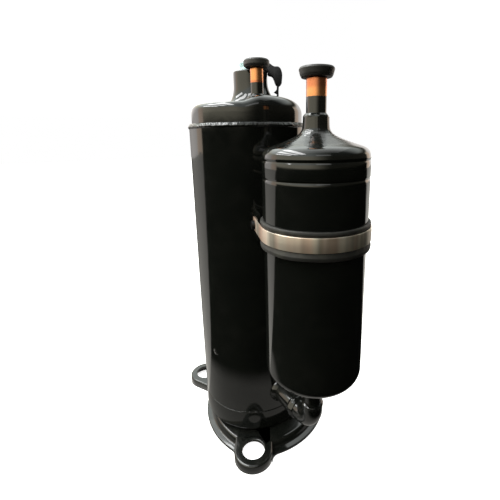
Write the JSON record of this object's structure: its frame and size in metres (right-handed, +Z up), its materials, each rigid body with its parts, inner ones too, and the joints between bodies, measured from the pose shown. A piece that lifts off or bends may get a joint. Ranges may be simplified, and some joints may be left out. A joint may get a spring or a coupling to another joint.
{
  "type": "refrigeration rotary compressor",
  "caption": "Upright hermetic rotary compressor: tall black shell on an eared base plate, side suction accumulator held by a band, terminal neck and plugged copper line stubs.",
  "frame": {"origin": "on the shell's axis, in the plane that the base plate stands on", "axes": "+Z up along the shell's axis, +X from the shell towards the accumulator"},
  "size_m": [0.2519, 0.1683, 0.403],
  "materials": {
    "black_paint": "gloss",
    "copper": "dull copper tube",
    "plug_rubber": "matte",
    "strap_rubber": "matte",
    "pad_rubber": "satin",
    "boot_plastic": "translucent",
    "stainless": "brushed",
    "zinc_steel": "dull zinc",
    "terminal_steel": "satin",
    "bead_glass": "gloss",
    "lead_plastic": "matte",
    "lead_insulation": "satin",
    "inner_steel": "oiled",
    "cast_iron": "ground",
    "lamination": "stacked sheet",
    "winding": "varnished",
    "liner_film": "matte film",
    "cage_aluminium": "cast",
    "weight_brass": "machined"
  },
  "bodies": {
    "casing": {"shell_body": "black_paint", "plug_welds": "black_paint", "top_seam_weld": "black_paint", "bottom_seam_weld": "black_paint", "bottom_cap": "black_paint", "top_cap": "black_paint", "strap_eyelet": "black_paint", "discharge_braze": "black_paint", "inlet_braze": "black_paint", "accumulator_upper_cup": "black_paint", "accumulator_lower_cup": "black_paint", "accumulator_bracket": "black_paint", "suction_elbow": "black_paint", "suction_tube": "black_paint", "suction_sleeve": "black_paint", "standpipe": "black_paint", "base_plate": "black_paint", "discharge_pipe": "copper", "suction_inlet_pipe": "copper", "terminal_strap": "strap_rubber", "band_pad": "pad_rubber", "terminal_boot": "boot_plastic", "band_clamp": "stainless", "band_screws": "zinc_steel", "terminal_plate": "terminal_steel", "terminal_pins": "terminal_steel", "terminal_beads": "bead_glass", "lead_block": "lead_plastic", "lead_wires": "lead_insulation", "accumulator_baffle": "inner_steel", "accumulator_screen": "inner_steel", "discharge_muffler": "inner_steel", "reed_retainer": "inner_steel", "retainer_rivet": "inner_steel", "vane_spring": "inner_steel", "pump_bolts": "inner_steel", "cylinder_block": "cast_iron", "main_bearing": "cast_iron", "sub_bearing": "cast_iron", "stator_core": "lamination", "stator_windings": "winding", "slot_liners": "liner_film"},
    "crank": {"crankshaft": "cast_iron", "oil_paddle": "inner_steel", "rotor_core": "lamination", "rotor_cage": "cage_aluminium", "rotor_rivets": "inner_steel", "upper_balance_weight": "weight_brass", "lower_balance_weight": "weight_brass", "oil_separator": "inner_steel"},
    "roller": {"roller": "cast_iron"},
    "vane": {"vane": "inner_steel"},
    "reed": {"valve_reed": "inner_steel"},
    "suction_plug": {"suction_plug": "plug_rubber"},
    "discharge_plug": {"discharge_plug": "plug_rubber"}
  },
  "joints": [
    {"name": "crank_spin", "type": "hinge", "parent": "casing", "child": "crank", "pos_m": [0, 0, 0.15], "axis": [0, 0, -1], "continuous": true},
    {"name": "roller_roll", "type": "hinge", "parent": "crank", "child": "roller", "pos_m": [-0.00086, -0.00487, 0.054], "axis": [0, 0, -1], "continuous": true},
    {"name": "vane_slide", "type": "slide", "parent": "casing", "child": "vane", "axis": [0.8192, 0.5736, 0], "range_m": [-0.0086, 0], "deforming": ["vane_spring"]},
    {"name": "reed_lift", "type": "hinge", "parent": "casing", "child": "reed", "pos_m": [-0.01175, 0.02326, 0.07825], "axis": [-0.1219, -0.9925, 0], "range_deg": [0, 5], "stiffness_Nm_per_rad": 0.02},
    {"name": "suction_plug_lift", "type": "slide", "parent": "casing", "child": "suction_plug", "axis": [0, 0, 1], "range_m": [0, 0.06]},
    {"name": "discharge_plug_lift", "type": "slide", "parent": "casing", "child": "discharge_plug", "axis": [0, 0, 1], "range_m": [0, 0.06]}
  ],
  "couplings": [
    {"joint": "roller_roll", "follows": "crank_spin", "ratio": -1.2273}
  ]
}
